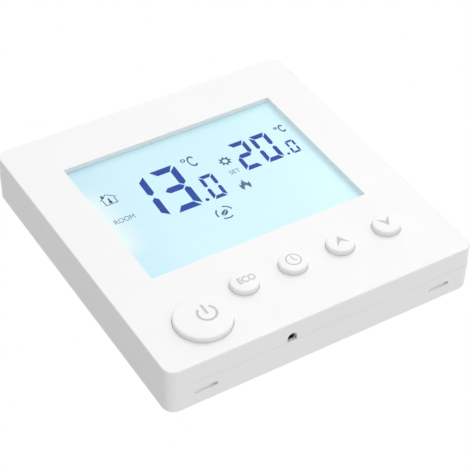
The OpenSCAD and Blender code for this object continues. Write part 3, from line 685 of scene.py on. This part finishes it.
# Flame: three tongues over an arch that is open at the foot
flat_shape(bm, [(-0.85, -2.0), (-1.45, -1.15), (-1.5, -0.2), (-1.3, 0.6), (-1.05, -0.05),
                (-0.85, 0.2), (-0.55, 1.0), (-0.35, 0.75), (0.1, 2.0), (0.35, 0.95), (0.7, 0.25),
                (1.0, 0.0), (1.45, 0.5), (1.5, -0.7), (1.2, -1.5), (0.85, -2.0), (0.7, -1.3),
                (0.3, -0.65), (0.0, -0.4), (-0.3, -0.65), (-0.7, -1.3)], (7.4, 4.3))
# Leaf in a ring of three arcs, in two halves with a vein between them
leaf = (-2.5, -2.5)
for start in (10, 130, 232):
    arc(bm, leaf, 2.25, start, start + 70, thin + 0.08, steps=14)
flat_shape(bm, [(-1.05, -0.85), (-1.15, -0.15), (-0.65, 0.5), (0.1, 0.85), (0.9, 0.95),
                (0.05, 0.18), (-0.65, -0.5)], leaf)
flat_shape(bm, [(0.95, 0.8), (0.85, -0.05), (0.45, -0.65), (-0.15, -1.0), (-0.85, -0.95),
                (-0.45, -0.55), (0.2, 0.05)], leaf)
thicken(bm, film_high.z)
sign_blue = moulded("sign_blue", (0.035, 0.10, 0.22), 0.4, grain=0.5, depth=0.001, mottle=0.1)
signs = make_piece(bm, "display_signs", sign_blue)
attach(signs, "display_unit")
# The words are finer and paler than the signs
bm = bmesh.new()
word(bm, "ROOM", (-25.4, 7.6), 1.7, 0.8)
word(bm, "SET", (7.9, 9.8), 1.55, 0.9)
thicken(bm, film_high.z)
word_grey = moulded("word_grey", (0.11, 0.19, 0.27), 0.4, grain=0.5, depth=0.001, mottle=0.1)
words = make_piece(bm, "display_words", word_grey)
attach(words, "display_unit")

# ---------------------------------------------------------------- Front cover
# The upper half of the casing: one white ABS moulding with the window, five button holes, a soft
# edge round its face and a D-shaped air hole in its bottom wall. A lap inside the seam locates it.
cover_low, cover_high = plan("front_cover")
shell_high = plan("rear_shell")[1]
cover_w, cover_h = cover_high.x - cover_low.x, cover_high.y - cover_low.y
face, seam = cover_high.z, shell_high.z
corner_steps, round_steps = 14, 4
edge_radius = 0.35
wall, face_plate = 1.8, 1.4
lap_high, lap_thick = seam - cover_low.z, 0.9
window_low, window_high = Vector((-30.75, -15.7)), Vector((30.75, 30.3))
lip = 0.03
hole_gap = 0.07
cap_flange = 0.9
tiny = 0.001


def level_face(bm, level):
    """The largest level face at a height."""
    found = [f for f in bm.faces if all(abs(v.co.z - level) < tiny for v in f.verts)]
    return max(found, key=lambda f: f.calc_area())


def draw_out(bm, face, distance):
    """Moves a level face along z, leaving walls behind it, and returns it in its new place."""
    made = bmesh.ops.extrude_discrete_faces(bm, faces=[face])["faces"][0]
    bmesh.ops.translate(bm, verts=made.verts, vec=(0, 0, distance))
    return made


def rolled_hole(bm, face, radius, depth):
    """Sinks a level face: a small rounded lip first, then straight walls. Leaves it open below."""
    for i in range(round_steps):
        a, b = i * pi / 2 / round_steps, (i + 1) * pi / 2 / round_steps
        bmesh.ops.inset_region(bm, faces=[face], thickness=radius * (sin(b) - sin(a)),
                               depth=-radius * (cos(a) - cos(b)), use_boundary=True,
                               use_even_offset=True)
    face = draw_out(bm, face, radius - depth)
    bmesh.ops.delete(bm, geom=[face], context="FACES_ONLY")


def close_level(bm, level, up):
    """Fills the level gap between an outer loop and the loops of the holes inside it."""
    loops = [e for e in bm.edges
             if e.is_boundary and all(abs(v.co.z - level) < tiny for v in e.verts)]
    bmesh.ops.triangle_fill(bm, edges=loops, use_beauty=True, use_dissolve=False, normal=(0, 0, up))


bm = bmesh.new()
bmesh.ops.create_cube(bm, size=1, matrix=Matrix.Translation((0, 0, (face + seam) / 2))
                      @ Matrix.Diagonal((cover_w, cover_h, face - seam, 1)))
upright = [e for e in bm.edges if abs(e.verts[0].co.z - e.verts[1].co.z) > 1]
bmesh.ops.bevel(bm, geom=upright, offset=corner_radius, offset_type="OFFSET", segments=corner_steps,
                profile=0.5, affect="EDGES", material=-1)
bmesh.ops.bevel(bm, geom=list(level_face(bm, face).edges), offset=edge_radius, offset_type="OFFSET",
                segments=round_steps, profile=0.5, affect="EDGES", material=-1)
# Seam step, lap and hollow, from below
inside = level_face(bm, seam)
bmesh.ops.inset_region(bm, faces=[inside], thickness=wall - lap_thick, use_even_offset=True)
inside = draw_out(bm, inside, -lap_high)
bmesh.ops.inset_region(bm, faces=[inside], thickness=lap_thick, use_even_offset=True)
inside = draw_out(bm, inside, face - face_plate - (seam - lap_high))
# Air hole through the bottom wall: its sides run down through the lap, and its top is an arch
hole_x, hole_half, hole_high, arch_steps = -9.8, 1.35, 2.4, 16
arch_z = seam + hole_high - hole_half
inner_y = cover_low.y + wall


def wall_faces(low_x, high_x):
    """Faces of the bottom wall below the arch that reach over a stretch of x."""
    return [f for f in bm.faces
            if max(v.co.y for v in f.verts) < inner_y + slack
            and min(v.co.z for v in f.verts) < arch_z - slack
            and min(v.co.x for v in f.verts) < low_x + slack
            and max(v.co.x for v in f.verts) > high_x - slack]


def cut_faces(faces, point, normal):
    """Cuts faces along a plane."""
    parts = list({part for f in faces for part in (f, *f.edges, *f.verts)})
    bmesh.ops.bisect_plane(bm, geom=parts, dist=0.0001, plane_co=point, plane_no=normal)


for side in (-1, 1):
    cut_faces(wall_faces(hole_x - hole_half, hole_x + hole_half),
              (hole_x + side * hole_half, 0, 0), (1, 0, 0))
cut_faces([f for f in wall_faces(hole_x - hole_half, hole_x + hole_half)
           if max(v.co.z for v in f.verts) > arch_z], (0, 0, arch_z), (0, 0, 1))
bmesh.ops.delete(bm, geom=wall_faces(hole_x - hole_half, hole_x + hole_half), context="FACES")
sills = [e for e in bm.edges
         if e.is_boundary and all(abs(v.co.z - arch_z) < tiny for v in e.verts)]
bmesh.ops.subdivide_edges(bm, edges=sills, cuts=arch_steps - 1)
arches = []
for y in (cover_low.y, inner_y):
    row = sorted((v for v in bm.verts if abs(v.co.z - arch_z) < tiny and abs(v.co.y - y) < tiny
                  and abs(v.co.x - hole_x) < hole_half + tiny), key=lambda v: v.co.x)
    for i, v in enumerate(row):
        v.co.x = hole_x - hole_half * cos(pi * i / arch_steps)
        v.co.z = arch_z + hole_half * sin(pi * i / arch_steps)
    arches.append(row)
outer_arch, inner_arch = arches
for i in range(arch_steps):
    bm.faces.new((outer_arch[i], outer_arch[i + 1], inner_arch[i + 1], inner_arch[i]))
for side in (-1, 1):
    cheek = [e for e in bm.edges if e.is_boundary
             and all(abs(v.co.x - hole_x - side * hole_half) < tiny for v in e.verts)]
    bmesh.ops.contextual_create(bm, geom=cheek)
# Four bosses for the case screws, which stand on the control board
board_high = plan("main_pcb")[1]
boss_radius, pilot_radius, pilot_depth = 2.6, 1.12, 3.4
boss_inset_x, boss_inset_y = 3, 6.7
boss_x, boss_y = cover_w / 2 - wall - boss_inset_x, cover_h / 2 - wall - boss_inset_y
for x, y in ((-boss_x, -boss_y), (boss_x, -boss_y), (-boss_x, boss_y), (boss_x, boss_y)):
    made = bmesh.ops.create_circle(bm, cap_ends=True, segments=48, radius=boss_radius,
                                   matrix=Matrix.Translation((x, y, face - face_plate)))
    foot = draw_out(bm, made["verts"][0].link_faces[0], board_high.z - face + face_plate)
    bmesh.ops.inset_region(bm, faces=[foot], thickness=boss_radius - pilot_radius,
                           use_even_offset=True)
    draw_out(bm, foot, pilot_depth)
# Window and button holes through the face
holes = []
window_size = window_high - window_low
window_centre = (window_high + window_low) / 2
for old in (level_face(bm, face), level_face(bm, face - face_plate)):
    bmesh.ops.delete(bm, geom=[old], context="FACES_ONLY")
made = bmesh.ops.create_grid(
    bm, x_segments=1, y_segments=1, size=0.5,
    matrix=Matrix.Translation((*window_centre, face))
    @ Matrix.Diagonal((window_size.x + 2 * lip, window_size.y + 2 * lip, 1, 1)))
holes.append(made["verts"][0].link_faces[0])
cap_nodes = ("power_cap", "eco_cap", "clock_cap", "up_cap", "down_cap")
for node in cap_nodes:
    low, high = plan(node)
    made = bmesh.ops.create_circle(bm, cap_ends=True, segments=96,
                                   radius=(high.x - low.x) / 2 - cap_flange + hole_gap + lip,
                                   matrix=Matrix.Translation(((low.x + high.x) / 2,
                                                              (low.y + high.y) / 2, face)))
    holes.append(made["verts"][0].link_faces[0])
for hole in holes:
    rolled_hole(bm, hole, lip, face_plate)
close_level(bm, face, 1)
close_level(bm, face - face_plate, -1)
bmesh.ops.recalc_face_normals(bm, faces=bm.faces)
cover_white = moulded("cover_white", (0.86, 0.86, 0.86), 0.38, mottle=0.01)
cover = make_piece(bm, "front_half", cover_white)
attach(cover, "display_unit")
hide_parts("front_cover")

# ---------------------------------------------------------------- Button caps
# Five round ABS caps. Each has a faintly crowned top with a soft edge, a flange that stops it
# behind the face, a hollow underside and a stem that rests on its switch.
cap_white = moulded("cap_white", (0.86, 0.86, 0.86), 0.36, mottle=0.01)
flange_high, flange_play = 0.9, 0.05
cap_skin, stem_radius = 1.2, 1.3
crown, crown_backing = 0.1, 0.3
soft_edge = 0.45
caps = {}


def turned(bm, profile, centre, steps=64):
    """Turns a profile of radii and heights, which starts and ends on the axis, into a solid."""
    verts = [bm.verts.new((centre[0] + r, centre[1], z)) for r, z in profile]
    edges = [bm.edges.new(pair) for pair in zip(verts, verts[1:])]
    bmesh.ops.spin(bm, geom=verts + edges, cent=(*centre, 0), axis=(0, 0, 1), angle=2 * pi,
                   steps=steps, use_merge=True)
    bmesh.ops.remove_doubles(bm, verts=bm.verts, dist=0.0005)
    bmesh.ops.recalc_face_normals(bm, faces=bm.faces)


def crown_level(distance, radius, top):
    """Height of a cap's crowned top at a distance from its middle."""
    return top - crown * (distance / radius) ** 2


for node in cap_nodes:
    low, high = plan(node)
    centre = Vector((low.x + high.x, low.y + high.y)) / 2
    radius = (high.x - low.x) / 2 - cap_flange
    shoulder = radius - soft_edge
    rim = crown_level(shoulder, radius, high.z)
    plunger_top = plan(node.replace("cap", "plunger"))[1].z
    profile = [(0, high.z)]
    profile += [(shoulder * i / 8, crown_level(shoulder * i / 8, radius, high.z))
                for i in range(1, 9)]
    profile += [(shoulder + soft_edge * sin(a), rim - soft_edge * (1 - cos(a)))
                for a in (radians(15 * i) for i in range(1, 7))]
    flange_low = cover_high.z - face_plate - flange_play - flange_high
    ceiling = high.z - crown_backing - cap_skin
    profile += [(radius, flange_low + flange_high), (radius + cap_flange, flange_low + flange_high),
                (radius + cap_flange, flange_low), (radius - cap_skin, flange_low),
                (radius - cap_skin, ceiling), (stem_radius, ceiling), (stem_radius, plunger_top),
                (0, plunger_top)]
    bm = bmesh.new()
    turned(bm, profile, centre, 96)
    cap = make_piece(bm, node + "_button", cap_white)
    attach(cap, node.replace("cap", "button"))
    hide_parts(node)
    caps[node] = (centre, radius, high.z)

# ---------------------------------------------------------------- Prints on the caps
# Pale grey signs printed on the caps: power, the economy word, a clock and two arrowheads. Each
# follows its cap's crown.
print_grey = moulded("print_grey", (0.55, 0.55, 0.55), 0.5, grain=0.2, depth=0.002)
arrow = [(0, 1.7), (1.85, -1.55), (0, -0.1), (-1.85, -1.55)]


def print_on(node, bm):
    """Lays flat shapes on a cap's crowned top and makes them a piece that moves with the cap."""
    centre, radius, top = caps[node]
    bmesh.ops.triangulate(bm, faces=bm.faces)
    bmesh.ops.subdivide_edges(bm, edges=bm.edges, cuts=2, use_grid_fill=True)
    bmesh.ops.recalc_face_normals(bm, faces=bm.faces)
    bmesh.ops.solidify(bm, geom=bm.faces[:], thickness=ink)
    lowest = min(v.co.z for v in bm.verts)
    for v in bm.verts:
        v.co.z += crown_level((v.co.xy - centre).length, radius, top) - lowest - sunk
    bmesh.ops.recalc_face_normals(bm, faces=bm.faces)
    made = make_piece(bm, node.replace("cap", "print"), print_grey)
    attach(made, node.replace("cap", "button"))


bm = bmesh.new()
power_sign = (-25.9, -33.1)
arc(bm, power_sign, 2.3, 128, 412, 0.62, steps=48)
stroke(bm, (power_sign[0], power_sign[1] - 0.3), (power_sign[0], power_sign[1] + 3.0), 0.66)
print_on("power_cap", bm)
bm = bmesh.new()
word(bm, "ECO", (-12.1, -28.1), 2.0, 0.84, 0.09)
print_on("eco_cap", bm)
bm = bmesh.new()
clock_sign = Vector((1.2, -27.95))
arc(bm, clock_sign, 1.85, 0, 360, 0.34, steps=48)
stroke(bm, clock_sign, clock_sign + Vector((0, 1.25)), 0.32)
stroke(bm, clock_sign, clock_sign + Vector((0.75, -0.45)), 0.32)
print_on("clock_cap", bm)
for node, centre, way in (("up_cap", (14.75, -28.0), 1), ("down_cap", (28.35, -27.8), -1)):
    bm = bmesh.new()
    flat_shape(bm, [(x * way, y * way) for x, y in arrow], centre)
    print_on(node, bm)

# ---------------------------------------------------------------- Switch plungers
# Small black pins of the tactile switches, which the caps' stems rest on.
for node in cap_nodes:
    plunger = node.replace("cap", "plunger")
    part = make_piece(eased_copy(plunger, 0.12), plunger + "_pin", switch_black)
    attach(part, node.replace("cap", "button"))
    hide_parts(plunger)
